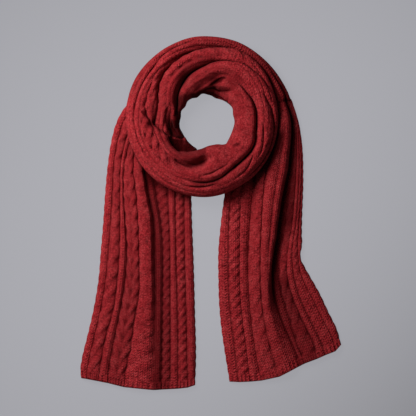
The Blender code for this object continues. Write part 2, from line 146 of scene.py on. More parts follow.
def make_wool():
    wool = bpy.data.materials.new("wool")
    wool.use_nodes = True
    tree = wool.node_tree
    link = tree.links.new
    shader = tree.nodes["Principled BSDF"]
    shader.inputs["Roughness"].default_value = 0.93
    shader.inputs["Specular IOR Level"].default_value = 0.0
    shader.inputs["Sheen Weight"].default_value = 0.035
    shader.inputs["Sheen Roughness"].default_value = 0.55
    shader.inputs["Sheen Tint"].default_value = (1.0, 0.30, 0.30, 1)

    cloth = add(tree, "ShaderNodeUVMap")
    cloth.uv_map = "knit"
    place = add(tree, "ShaderNodeTexCoord").outputs["Object"]
    uneven = noise(tree, place, 130.0, 2.0, 0.6)
    split = add(tree, "ShaderNodeSeparateXYZ")
    link(cloth.outputs["UV"], split.inputs[0])
    across = split.outputs["X"]
    along = maths(tree, "ADD", split.outputs["Y"], maths(tree, "MULTIPLY", uneven, 5.0))

    heather = noise(tree, place, 420.0, 3.0, 0.7)
    patches = noise(tree, place, 60.0, 2.0, 0.6)
    reds = add(tree, "ShaderNodeValToRGB")
    ramp = reds.color_ramp
    ramp.elements[0].position, ramp.elements[0].color = 0.33, DARK_RED
    ramp.elements[1].position, ramp.elements[1].color = 0.68, PALE_RED
    ramp.elements.new(0.5).color = RED
    mixed = maths(tree, "ADD", maths(tree, "MULTIPLY", heather, 0.45), maths(tree, "MULTIPLY", patches, 0.2))
    link(maths(tree, "ADD", mixed, 0.18), reds.inputs["Fac"])

    # Painted shade: the "hollow" attribute mixes the colour towards that near-black red, in folds and where
    # shade falls.
    hollow = add(tree, "ShaderNodeAttribute")
    hollow.attribute_name = "hollow"
    deep = add(tree, "ShaderNodeMix")
    deep.data_type = "RGBA"
    link(reds.outputs["Color"], deep.inputs["A"])
    deep.inputs["B"].default_value = PAINTED_SHADE_RED
    link(deep.outputs["Result"], shader.inputs["Base Color"])

    # Stitches: a column's V is made by a phase that grows away from the column's middle.
    wale = maths(tree, "PINGPONG", across, HALF_STITCH)
    lean = maths(tree, "MULTIPLY", wale, 1.5)
    beat = maths(tree, "ADD", maths(tree, "MULTIPLY", along, 2 * math.pi / STITCH_LENGTH), lean)
    beat = maths(tree, "ADD", maths(tree, "MULTIPLY", maths(tree, "SINE", beat), 0.5), 0.5)
    leg = maths(tree, "SINE", maths(tree, "MULTIPLY", wale, math.pi / HALF_STITCH))
    stitch = maths(tree, "MULTIPLY", maths(tree, "ADD", beat, 0.25), maths(tree, "ADD", leg, 0.6))

    # Grain: small tufts. Painted shade darkens the colour between them and between stitches, and "hollow"
    # adds the painted shade of the folds.
    grain = add(tree, "ShaderNodeTexVoronoi", Scale=215.0, Randomness=0.75)
    link(place, grain.inputs["Vector"])
    stitch_gap_shade = maths(tree, "MULTIPLY", maths(tree, "SUBTRACT", 1.0, beat), 0.35)
    tuft_gap_shade = maths(tree, "MULTIPLY", maths(tree, "SUBTRACT", grain.outputs["Distance"], 0.3), 1.1)
    painted_gap_shade = maths(tree, "MAXIMUM", stitch_gap_shade, maths(tree, "MAXIMUM", tuft_gap_shade, 0.0))
    link(maths(tree, "MAXIMUM", painted_gap_shade, hollow.outputs["Fac"]), deep.inputs["Factor"])

    fuzz = noise(tree, place, 900.0, 4.0, 0.75)
    rough = maths(tree, "ADD", maths(tree, "MULTIPLY", stitch, 0.9), maths(tree, "MULTIPLY", fuzz, 0.5))
    rough = maths(tree, "SUBTRACT", rough, maths(tree, "MULTIPLY", grain.outputs["Distance"], 0.9))
    bump = add(tree, "ShaderNodeBump", Strength=0.7, Distance=0.0012)
    link(rough, bump.inputs["Height"])
    link(bump.outputs["Normal"], shader.inputs["Normal"])
    return wool


wool = make_wool()

# Sizes are in millimetres, and the tables of the strip and its folds are the CAD's own. THINNEST is the least
# wall of a shell, and LEAST the least height of the gathered cloth over what it lies on. EDGE is the height
# of the cloth's edge, LOWER_TOP that of a stretch under another, and UPPER_FLOOR the underside of that other.
MM = 0.001
LOOP_X, LOOP_Y = -7.5, 189.0
WALL, THINNEST, LEAST = 4.5, 1.2, 3.5
EDGE, LOWER_TOP, UPPER_FLOOR = 4.5, 13.8, 14.4
INNER, OUTER, CREST = 1, 2, 3

# clock, inner edge, outer edge, crest height
SPIRAL = (
    (-132, 57.5, 110.0, 16.0),
    (-118, 56.5, 110.0, 20.0),
    (-107, 57.5, 109.0, 25.0),
    (-100, 56.5, 106.0, 29.0),
    (-85, 53.0, 101.5, 36.0),
    (-72, 54.0, 102.0, 40.0),
    (-60, 50.5, 111.0, 42.5),
    (-47, 53.0, 121.5, 44.5),
    (-36, 51.5, 127.5, 46.0),
    (-25, 48.0, 132.0, 47.5),
    (-10, 52.0, 138.0, 49.0),
    (0, 49.5, 141.5, 50.0),
    (12, 47.5, 146.0, 50.5),
    (20, 45.5, 150.0, 51.0),
    (35, 48.0, 151.0, 52.0),
    (50, 52.0, 149.0, 52.5),
    (66, 55.5, 144.5, 53.0),
    (80, 53.0, 142.5, 54.0),
    (95, 55.5, 142.5, 55.0),
    (115, 56.0, 144.0, 56.0),
    (125, 57.5, 145.0, 56.0),
    (135, 60.0, 146.5, 56.0),
    (143, 62.5, 148.0, 56.0),
    (150, 59.0, 148.5, 56.0),
    (157, 55.0, 150.0, 56.0),
    (165, 53.5, 152.5, 56.0),
    (180, 55.0, 156.0, 56.0),
    (190, 60.5, 157.0, 55.0),
    (196, 64.0, 157.5, 54.0),
    (205, 72.0, 158.0, 53.0),
    (213, 79.0, 158.5, 52.5),
    (221, 86.5, 159.0, 51.5),
    (230, 88.0, 159.5, 50.5),
    (240, 87.0, 160.0, 49.5),
    (246, 86.0, 160.0, 48.5),
    (252, 92.0, 160.5, 47.0),
    (263, 106.0, 161.5, 45.0),
    (275, 101.5, 162.5, 43.0),
    (288, 102.0, 163.5, 41.0),
    (300, 111.0, 164.5, 38.5),
    (313, 121.5, 164.5, 36.5),
    (324, 127.5, 164.0, 35.0),
    (335, 132.0, 164.5, 33.5),
    (350, 138.0, 165.0, 32.0),
    (360, 141.5, 165.0, 31.0),
    (372, 146.0, 165.0, 30.5),
    (380, 150.0, 165.0, 30.0),
    (395, 151.0, 164.5, 29.5),
    (410, 149.0, 165.5, 27.5),
    (426, 144.5, 168.5, 23.5),
    (437, 143.0, 172.5, 20.0),
)

# name, shape, reach inwards and outwards, then clock, radius and depth along it. A roll's valley is sharp and
# its shoulders round, a trough is soft, a shelf stays low all the way inwards, and a step stays low outwards.
FOLDS = (
    ("first roll", "roll", 11, 15, ((-92, 58, 0), (-80, 60, 14), (-65, 65, 22), (-50, 75, 27),
                                    (-35, 85, 29), (-20, 95, 28), (-5, 104, 25), (5, 112, 20),
                                    (12, 117, 13), (20, 123, 8), (32, 130, 5), (48, 135, 7), (60, 137, 6),
                                    (70, 140, 0))),
    ("cable on first roll", "trough", 8, 8, ((-55, 107, 0), (-42, 111, 3), (-30, 115, 5), (-18, 120, 5),
                                             (-6, 125, 3), (6, 130, 0))),
    ("hollow lap", "shelf", 12, 9, ((-120, 78, 0), (-110, 79, 10), (-95, 83, 12), (-85, 83, 8),
                                    (-75, 82, 6), (-64, 80, 0))),
    ("hollow", "trough", 9, 8, ((-122, 74, 0), (-114, 76, 14), (-103, 76, 18), (-94, 75, 15), (-84, 72, 6),
                                (-76, 70, 0))),
    ("second roll", "trough", 13, 14, ((-36, 57, 0), (-26, 59, 3), (-18, 62, 5), (-10, 66, 7), (-3, 71, 8),
                                       (4, 77, 9), (12, 85, 9), (18, 91, 8), (24, 97, 5), (32, 103, 0))),
    ("steep gather", "trough", 12, 8, ((2, 60, 3), (8, 68, 9), (14, 77, 12), (19, 85, 11), (24, 92, 6),
                                       (29, 98, 0))),
    ("rim lap", "shelf", 30, 9, ((-20, 54, 0), (-8, 58, 12), (0, 62, 20), (8, 64, 26), (14, 65, 28),
                                 (20, 63, 28), (27, 65, 26), (33, 69, 20), (39, 74, 12), (46, 78, 0))),
    ("third roll", "roll", 9, 13, ((40, 92, 0), (50, 94, 6), (58, 95, 11), (66, 97, 16), (80, 99, 18),
                                   (95, 99, 18), (105, 101, 18), (115, 106, 20), (125, 108, 22),
                                   (141, 108, 21), (150, 110, 19), (157, 113, 17), (165, 119, 15),
                                   (172, 123, 13), (180, 126, 11), (188, 127, 8), (196, 127, 4),
                                   (206, 128, 0))),
    ("fourth roll", "roll", 11, 9, ((64, 122, 0), (72, 125, 7), (80, 129, 10), (88, 131, 11), (95, 134, 12),
                                    (110, 137, 13), (125, 139, 12), (138, 140, 8), (150, 142, 0))),
    ("short gather", "roll", 7, 7, ((93, 112, 0), (99, 114, 3), (105, 117, 4), (112, 121, 4), (119, 125, 3),
                                    (128, 129, 0))),
    ("cross gather", "roll", 7, 8, ((124, 112, 0), (130, 118, 3), (138, 125, 4), (148, 130, 3),
                                    (157, 133, 0))),
    ("dimple", "trough", 6, 6, ((125, 86, 0), (129, 83, 5), (133, 79, 5), (138, 75, 0))),
    ("low gather", "roll", 7, 7, ((152, 99, 0), (160, 101, 3), (168, 104, 4), (176, 109, 4), (183, 113, 2),
                                  (189, 116, 0))),
    ("front valley", "trough", 18, 14, ((173, 72, 0), (179, 80, 14), (185, 88, 23), (192, 94, 24),
                                        (199, 99, 21), (206, 103, 16), (213, 106, 11), (220, 110, 6),
                                        (227, 112, 0))),
    ("front gather", "roll", 8, 8, ((168, 128, 0), (175, 132, 5), (182, 135, 7), (188, 137, 6),
                                    (194, 139, 3), (200, 140, 0))),
    ("outer gather", "roll", 8, 9, ((232, 138, 0), (250, 142, 3), (262, 145, 4), (275, 146, 4),
                                    (290, 145, 4), (300, 145, 7), (310, 147, 8), (325, 152, 8),
                                    (340, 156, 7), (355, 160, 4), (368, 163, 0))),
    ("lap of the front", "roll", 13, 11, ((256, 107, 0), (263, 111, 8), (269, 115, 12), (276, 122, 17),
                                          (282, 125, 13), (290, 127, 8), (300, 131, 5), (310, 135, 3),
                                          (320, 140, 0))),
    ("edge rib", "step", 6, 14, ((372, 160, 0), (385, 159, 5), (400, 159, 9), (415, 159, 12),
                                 (427, 159, 14), (437, 160, 14))),
)

# Ribs and cables of the gathered strip: how wide they are, and the length in which a cable's strands cross.
# The ribs' rise goes by the distance in from the outer edge, and their share of it by the clock.
RIB, LOOP_CABLE, FRONT_CABLE = 9.0, 17.0, 21
NARROW_PITCH, FRONT_PITCH = 18.5, 26.0
CABLE_RISE, FRONT_RISE = 3.4, 5.0
RIB_RISE = ((0, 2.2), (30, 2.0), (50, 1.4), (70, 1.0))
RIB_SHARE = ((45, 1), (75, 0.5), (160, 0.4), (195, 0.8), (225, 1.7), (250, 1.5), (300, 1.4), (340, 1.7))
FRONT_CABLE_START = ((200, 42), (225, 36), (275, 27))

# How far the painted shade reaches from the neck hole: the deep painted shade of the lining, and the painted
# dusk under the gathers.
LINING_SHADE = ((-131, 26), (-95, 17), (-65, 20), (-50, 24), (-35, 18), (-20, 13), (0, 12), (20, 14), (40, 10),
          (60, 3), (80, 0))
DUSK = ((-40, 0), (-25, 20), (-5, 26), (8, 36), (16, 42), (23, 36), (28, 0))

# Painted shadows on the wool's colour: how dark, what it is measured from, where it starts and ends outwards
# from that, and where by the clock.
# Each limit has the width of its soft edge with it, and None leaves a side open.
INNER_SHADOWS = (
    (0.45, "first roll", (-14, 14), (3, 3), (-75, 20), (5, 20)),
    (0.5, "first roll", (-4, 6), (22, 10), (-80, 15), (22, 16)),
    (0.36, "first roll", (8, 12), None, (-100, 15), (40, 20)),
    (0.3, "first roll", (-16, 8), (24, 8), (-48, 18), (-12, 18)),
    (0.4, "first roll", (-8, 8), (8, 8), (14, 12), (76, 10)),
    (0.4, "inner edge", (8, 6), (28, 6), None, (-88, 10)),
    (0.9, "inner edge", None, (26, 8), None, (-100, 10)),
    (-0.45, "inner edge", None, (26, 8), None, (-114, 8)),
    (0.5, "middle", None, (84, 10), (-118, 8), (-70, 12)),
    (0.55, "middle", (74, 10), (120, 16), (8, 18), (56, 20)),
    (0.5, "middle", (62, 6), (102, 12), (-6, 16), (26, 16)),
    (0.45, "third roll", (-3, 5), (19, 10), (116, 12), None),
)


def curve(points, at):
    """Smooth curve through the points, level beyond the first and the last."""
    where, value = np.array(sorted(points), float).T
    slope = np.gradient(value, where)
    at = np.clip(at, where[0], where[-1])
    i = np.clip(np.searchsorted(where, at) - 1, 0, len(where) - 2)
    width = where[i + 1] - where[i]
    t = (at - where[i]) / width
    ahead = t * t * (3 - 2 * t)
    bend = width * (slope[i] * t * (1 - t) ** 2 - slope[i + 1] * t * t * (1 - t))
    return value[i] + (value[i + 1] - value[i]) * ahead + bend


def ease(value):
    """0 up to 0 and 1 from 1 on, with a soft rise between them."""
    t = np.clip(value, 0, 1)
    return t * t * (3 - 2 * t)


def between(value, start, end):
    """1 between two limits. Each is given as where it lies and how wide its soft edge is, or as None."""
    share = 1.0
    if start is not None:
        share = share * ease((value - start[0]) / start[1])
    if end is not None:
        share = share * ease((end[0] - value) / end[1])
    return share


def spiral(column, clock):
    """One measure of the wound strip by the clock."""
    return curve([(row[0], row[column]) for row in SPIRAL], clock)


def on_loop(clock, radius):
    """x and y of a place given by the clock and its distance from the loop's middle."""
    angle = np.radians(clock)
    return LOOP_X + radius * np.sin(angle), LOOP_Y + radius * np.cos(angle)


def loop_polar(x, y, near):
    """Clock and radius of a place, on the turn whose clock is nearest to the given one."""
    clock = np.degrees(np.arctan2(x - LOOP_X, y - LOOP_Y))
    return clock + 360 * np.round((near - clock) / 360), np.hypot(x - LOOP_X, y - LOOP_Y)


def round_loop(clock, radius):
    """Length along the loop, counted at one radius."""
    return np.radians(clock) * radius


def wobble(x, y, size, seed):
    """Smooth unevenness about 1 high, from a few waves in seeded directions."""
    rng = np.random.default_rng(seed)
    total = np.zeros(np.broadcast(x, y).shape)
    waves = zip(rng.uniform(0, 6.28, 7), rng.uniform(0, 6.28, 7), rng.uniform(0.6, 1.7, 7))
    for angle, phase, stretch in waves:
        total += np.sin((x * math.cos(angle) + y * math.sin(angle)) * 6.28 * stretch / size + phase)
    return total / 3.2


def fold_share(shape, near, outward, away, reach_in):
    """Share of a fold's depth beside its line. near is 1 on the line and 0 at the end of its reach."""
    sharp = 1 - np.sqrt(1 - near * near)
    if shape == "trough":
        return ease(near)
    if shape == "roll":
        slit = 0.3 * np.clip(1 - away / 3.0, 0, 1) ** 1.5
        return np.where(outward < 0, sharp, near ** 2.2) + slit
    if shape == "shelf":
        return np.where(outward < 0, ease((reach_in - away) / 4 + 1), sharp)
    return np.where(outward > 0, 0.75 + 0.25 * near ** 2, sharp)


def fold_depth(clock, x, y):
    """How far the folds press the arch down. A point takes only folds of its own turn of the strip."""
    press = np.zeros_like(x)
    for name, shape, reach_in, reach_out, line in FOLDS:
        first, last = line[0][0], line[-1][0]
        rows, columns = np.nonzero((clock > first - 6) & (clock < last + 6))
        if len(rows) == 0:
            continue
        stops = np.linspace(first, last, int((last - first) / 1.5) + 2)
        line_x, line_y = on_loop(stops, curve([stop[:2] for stop in line], stops))
        depth = np.maximum(curve([(stop[0], stop[2]) for stop in line], stops), 0)
        step_x, step_y, step_depth = np.gradient(line_x), np.gradient(line_y), np.gradient(depth)
        spacing = np.hypot(step_x, step_y)
        away_x = x[rows, columns][:, None] - line_x
        away_y = y[rows, columns][:, None] - line_y
        nearest = np.argmin(away_x ** 2 + away_y ** 2, axis=1)
        pick = np.arange(len(rows)), nearest
        away_x, away_y, spacing = away_x[pick], away_y[pick], spacing[nearest]
        step_x, step_y = step_x[nearest] / spacing, step_y[nearest] / spacing
        forward = away_x * step_x + away_y * step_y
        outward = away_y * step_x - away_x * step_y
        away = np.hypot(outward, np.maximum(abs(forward) - spacing * 0.5, 0))
        here = depth[nearest] + step_depth[nearest] * np.clip(forward / spacing, -0.5, 0.5)
        near = np.clip(1 - away / np.where(outward < 0, reach_in, reach_out), 0, 1)
        sunk = here * fold_share(shape, near, outward, away, reach_in)
        press[rows, columns] = np.maximum(press[rows, columns], sunk)
    return press


def loop_top(clock, radius, edge_in, edge_out):
    """Height of the arched strip, with its folds pressed in, over the given heights of its two edges."""
    inner, outer, crest = (spiral(column, clock) for column in (INNER, OUTER, CREST))
    across = np.clip((radius - inner) / (outer - inner), 0, 1)
    base = edge_in + (edge_out - edge_in) * across
    arch = (1 - abs(2 * across - 1) ** 2.6) ** (1 / 2.6)
    x, y = on_loop(clock, radius)
    return np.maximum(base + (crest - base) * arch - fold_depth(clock, x, y), base)


def tucked(top, outside, reach=6.0):
    """Rounds a surface down under the stretch that lies on it. outside is how far out from that one it is."""
    rise = np.sqrt(1 - (1 - np.clip((outside - 1) / reach, 0, 1)) ** 2)
    return np.where(top > LOWER_TOP, LOWER_TOP + (top - LOWER_TOP) * rise, top)


def rib(part):
    """Height of one rib, part of the way across it."""
    return np.sin(math.pi * np.clip(part, 0, 1)) ** 1.1


def rope(part, along, pitch, lean):
    """Height of a two-strand cable: each strand crosses over the other once a pitch."""
    height = np.zeros(np.broadcast(part, along).shape)
    for strand in (0, 1):
        phase = math.pi * (along / pitch + strand)
        middle = 0.5 + lean * 0.25 * np.cos(phase)
        tube = np.sqrt(np.clip(1 - ((part - middle) / 0.33) ** 2, 0, 1))
        height = np.maximum(height, tube * (0.62 + 0.38 * np.sin(phase)))
    return height


def narrow_cable(part, along, lean):
    """Height of a narrow cable: mostly its strands, on a low rib."""
    return 0.2 * rib(part) + 0.8 * rope(part, along, NARROW_PITCH, lean)


def front_cable(inside, clock):
    """Height of the cable that runs along the front, and how much of it there is at a point."""
    part = (inside - curve(FRONT_CABLE_START, clock)) / FRONT_CABLE
    there = between(clock, (210, 14), (300, 16)) * between(part, (0, 0.12), (1, 0.12))
    return rope(part, round_loop(clock, 120), FRONT_PITCH, -1), there


def loop_relief(inside, clock):
    """Knitted relief of the gathered strip, by the distance in from its outer edge: ribs, with a cable at the
    top and another in front."""
    ribs = abs(np.sin(math.pi * inside / RIB)) ** 0.7 * curve(RIB_RISE, inside) * curve(RIB_SHARE, clock)
    part = inside / LOOP_CABLE
    cable = np.where(part < 1, CABLE_RISE * narrow_cable(part, round_loop(clock, 98), -1), ribs * 0.7)
    strands, there = front_cable(inside, clock)
    at_top = between(clock, (-88, 16), (46, 20))
    return ribs + (cable - ribs) * at_top + (FRONT_RISE * strands - ribs) * there


def valley(name, clock):
    """Radius of the named fold's valley."""
    return curve([stop[:2] for fold in FOLDS if fold[0] == name for stop in fold[4]], clock)


def shadows(rows, clock, radius):
    """Sum of a table's shadows over the gathered strip."""
    total = np.zeros_like(radius)
    for dark, measured_from, start, end, first_clock, last_clock in rows:
        if measured_from == "middle":
            outwards = radius
        elif measured_from == "inner edge":
            outwards = radius - spiral(INNER, clock)
        else:
            outwards = radius - valley(measured_from, clock)
        total += dark * between(outwards, start, end) * between(clock, first_clock, last_clock)
    return total


def shrink(surface, reach):
    """Lowest value within reach rows and columns."""
    low = surface.copy()
    for shift in range(1, reach + 1):
        low[shift:] = np.minimum(low[shift:], surface[:-shift])
        low[:-shift] = np.minimum(low[:-shift], surface[shift:])
    wide = low.copy()
    for shift in range(1, reach + 1):
        wide[:, shift:] = np.minimum(wide[:, shift:], low[:, :-shift])
        wide[:, :-shift] = np.minimum(wide[:, :-shift], low[:, shift:])
    return wide


def soften(surface, reach):
    """Running mean over reach rows and columns each way."""
    for axis in (0, 1):
        padding = [(0, 0), (0, 0)]
        padding[axis] = (reach + 1, reach)
        sums = np.cumsum(np.pad(surface, padding, mode="edge"), axis=axis)
        length = surface.shape[axis]
        high = np.take(sums, range(2 * reach + 1, 2 * reach + 1 + length), axis=axis)
        low = np.take(sums, range(length), axis=axis)
        surface = (high - low) / (2 * reach + 1)
    return surface


def from_ends(count):
    """Steps to the nearer end of a row of so many points."""
    return np.minimum(np.arange(count), np.arange(count)[::-1])


def facing(x, y, z):
    """Unit normals of a surface given as rows of points, facing up."""
    rows = np.stack([np.gradient(value, axis=0) for value in (x, y, z)], axis=-1)
    columns = np.stack([np.gradient(value, axis=1) for value in (x, y, z)], axis=-1)
    normal = np.cross(rows, columns)
    normal *= np.sign(normal[..., 2:3] + 1e-12)
    return normal / np.maximum(np.linalg.norm(normal, axis=-1, keepdims=True), 1e-9)


def in_rows(*values):
    """Several grids of one value a point as one list of rows, a point a row."""
    return np.stack(values, axis=-1).reshape(-1, len(values))


def cloth_shell(name, x, y, z, lowest, across, along, shade, darkest_fold_shade=0.85):
    """A closed cloth shell over rows of points, in millimetres, that stands for the CAD node of its name."""
    rows, columns = x.shape
    bpy.ops.mesh.primitive_grid_add(x_subdivisions=columns - 1, y_subdivisions=rows - 1, size=1)
    shell = bpy.context.object
    shell.name = name + "_knit"
    mesh = shell.data
    mesh.vertices.foreach_set("co", (in_rows(x, y, z) * MM).astype(np.float32).ravel())
    thick = shell.modifiers.new("cloth", "SOLIDIFY")
    thick.thickness = WALL * MM
    thick.offset = -1
    bpy.ops.object.modifier_apply(modifier="cloth")
    under = np.minimum(np.maximum(shrink(z - WALL, 2), lowest), z - THINNEST)
    points = np.concatenate((in_rows(x, y, z), in_rows(x, y, under)))
    mesh.vertices.foreach_set("co", (points * MM).astype(np.float32).ravel())
    vertex_of = np.empty(len(mesh.loops), np.int32)
    mesh.loops.foreach_get("vertex_index", vertex_of)
    cloth = np.tile(in_rows(across, along), (2, 1))
    layer = mesh.uv_layers[0]
    layer.name = "knit"
    layer.data.foreach_set("uv", cloth[vertex_of].astype(np.float32).ravel())
    # Painted shade: the colour darkens where the surface lies below its surroundings, in folds and grooves,
    # up to the given cap, and the painted shade passed in is added.
    folds = np.clip((soften(z, 7) - z - 1.5) / 11, 0, 1) ** 1.1
    grooves = np.clip((soften(z, 4) - z - 0.15) / 1.1, 0, 1)
    hollow = np.minimum((folds + 0.5 * grooves) * 1.1, darkest_fold_shade)
    hollow = np.clip(soften(hollow, 1) + shade, 0, 0.97)
    attribute = mesh.attributes.new("hollow", "FLOAT", "POINT")
    attribute.data.foreach_set("value", np.tile(hollow.ravel(), 2).astype(np.float32))
    mesh.polygons.foreach_set("use_smooth", np.ones(len(mesh.polygons), bool))
    mesh.materials.append(wool)
    mesh.update()
    shell.select_set(False)
    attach(shell, "root")
    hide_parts(name)
    return shell


def loop_rows(inner_clocks, outer_clocks, rows, columns, tuck=0.0):
    """Rows of points across the strip, from its inner edge to its outer one, and each row's clock."""
    share = np.linspace(0, 1, rows)
    inner_clock = inner_clocks[0] + (inner_clocks[1] - inner_clocks[0]) * share
    outer_clock = outer_clocks[0] + (outer_clocks[1] - outer_clocks[0]) * share
    near = (inner_clock + outer_clock) / 2
    hidden = tuck * ease((inner_clock - 262) / 8)
    start = np.array(on_loop(inner_clock, spiral(INNER, inner_clock) - hidden))
    end = np.array(on_loop(outer_clock, spiral(OUTER, outer_clock)))
    spread = np.linspace(0, 1, columns)
    spread = (0.5 - 0.5 * np.cos(math.pi * spread)) * 0.5 + spread * 0.5
    x, y = (start + (end - start) * spread[:, None, None]).transpose(1, 2, 0)
    return x, y, near[:, None]


def loop_knit(x, y, z, clock, radius, middle):
    """Adds ribs and cables along the surface's own normal, and gives each point's place in the knitting."""
    step = np.sqrt(np.diff(x, axis=1) ** 2 + np.diff(y, axis=1) ** 2 + np.diff(z, axis=1) ** 2)
    across = np.concatenate((np.zeros((len(x), 1)), np.cumsum(step, axis=1)), axis=1)
    across = across[:, -1:] - across
    along = round_loop(clock, middle)
    relief = loop_relief(spiral(OUTER, clock) - radius, clock)
    relief *= 0.9 + 0.25 * wobble(x, y, size=90, seed=3)
    normal = facing(x, y, z)
    relief *= ease(from_ends(x.shape[1]) / 4)[None, :]
    relief *= ease((clock + 133) / 22)
    relief += 0.3
    sideways = relief * ease(from_ends(len(x)) / 6)[:, None]
    x, y = x + normal[..., 0] * sideways, y + normal[..., 1] * sideways
    return x, y, z + normal[..., 2] * relief, across, along


x, y, near = loop_rows(inner_clocks=(-131, 150), outer_clocks=(-107, 150), rows=300, columns=118)
clock, radius = loop_polar(x, y, near)
raised = ease((clock - 58) / 10)
outer_raised = ease((clock + 102) / 8)
outer_part = ease((radius - spiral(OUTER, clock) + 28) / 8) * outer_raised
lowest = UPPER_FLOOR * np.maximum(raised, outer_part)
z = loop_top(clock, radius, EDGE + UPPER_FLOOR * raised, EDGE + UPPER_FLOOR * outer_raised)
inside = radius - spiral(INNER, clock)
x, y, z, across, along = loop_knit(x, y, z, clock, radius, middle=100)
z = np.maximum(z, lowest + LEAST)
# At its start it is rounded down under the front's rim, which lies on it one turn further on.
front_edge = curve([(row[0] - 360, row[INNER]) for row in SPIRAL if 188 <= row[0] <= 263], clock)
z = tucked(z, np.where(clock < -96, front_edge - radius, 99))
# Painted shade near the neck hole and under the gathers, and the painted shadows of the table.
shade = 0.7 * ease((curve(LINING_SHADE, clock) - inside) / 10) + 0.4 * ease((curve(DUSK, clock) - inside) / 8)
shade += shadows(INNER_SHADOWS, clock, radius)
cloth_shell("wrap_inner", x, y, z, lowest, across, along, shade)

# ---------------------------------------------------------------- wrap_front
# The same strip of wool where it passes in front, over both tails. It is knitted on without a seam, one cable
# shows along it, and its free rim stands over the pocket at 8 o'clock.
LAP = 1.2
FRONT_SHADOWS = (
    (0.45, "third roll", (-3, 5), (19, 10), None, (200, 12)),
    (0.2, "middle", (92, 10), (138, 8), (162, 10), (222, 12)),
    (0.5, "front valley", None, (6, 14), (176, 8), (228, 10)),
    (0.2, "front valley", None, (-10, 8), (176, 8), (228, 10)),
)

x, y, near = loop_rows(inner_clocks=(149, 263), outer_clocks=(149, 286), rows=150, columns=118)
clock, radius = loop_polar(x, y, near)
lowest = np.full_like(x, UPPER_FLOOR)
z = loop_top(clock, radius, EDGE + UPPER_FLOOR, EDGE + UPPER_FLOOR)
x, y, z, across, along = loop_knit(x, y, z, clock, radius, middle=125)
z = np.maximum(z, lowest + LEAST)
z[0] -= LAP
strands, there = front_cable(spiral(OUTER, clock) - radius, clock)
# Painted shadows of the table, and painted shade between the cable's strands.
shade = shadows(FRONT_SHADOWS, clock, radius) + 0.55 * (1 - strands) * there
cloth_shell("wrap_front", x, y, z, lowest, across, along, shade,
            darkest_fold_shade=0.6)

# ---------------------------------------------------------------- wrap_outer
# The second turn of the same knitted strip, outside and below the first. It runs in under the first turn, and
# lies flat on the ground along its outer edge.
TUCK = 15.0
FLANK = ((265, 5), (290, 6), (305, 12), (325, 18), (437, 18))
OUTER_SHADOWS = (
    (0.42, "middle", (144, 10), None, (276, 16), None),
    (0.2, "middle", None, None, (378, 20), None),
)

x, y, near = loop_rows(inner_clocks=(261.8, 437), outer_clocks=(284.8, 437), rows=270, columns=70, tuck=TUCK)
clock, radius = loop_polar(x, y, near)
lowest = np.zeros_like(x)
lift = EDGE + UPPER_FLOOR * ease((314 - clock) / 26)
z = loop_top(clock, radius, lift, lift)
x, y, z, across, along = loop_knit(x, y, z, clock, radius, middle=150)
z = np.maximum(tucked(z, radius - spiral(INNER, clock), curve(FLANK, clock)), 3.0)
z[:2] -= LAP
shade = shadows(OUTER_SHADOWS, clock, radius)
cloth_shell("wrap_outer", x, y, z, lowest, across, along, shade)

# ---------------------------------------------------------------- tail_left
# The first tail, the strip's full width, from its hem up to where it slips under the front of the loop. It is
# knitted in columns of ribs and cables, ends in a ribbed welt, and lies in two long folds.
WELT, TONGUE = 16.0, 34
TAIL_ROWS = 330
WIDE_PITCH, BACK_PITCH = 33.0, 30.0
NARROW_WIDTHS, WIDE_WIDTH = {"rib": 11, "cable": 16}, 36
# The share of a column's painted shade on its upper part, before the last quarter where it drops to the far
# line. Other kinds take all of it.
CREST_SHADE = {"brink": 0.4, "roll": 0.0}

# Shares of the way down at which the tables' heights and shades hold, and how deep the painted shade of the
# second tail is beside the loop, by the clock.
FORM_STOPS = (0, 0.45, 1)
SHADE_STOPS = (0, 0.47, 0.56, 0.63, 0.7, 1)
SECOND_CONTACT_SHADE = ((80, 0.7), (110, 0.95), (130, 1.0), (145, 0.7), (155, 0.45))

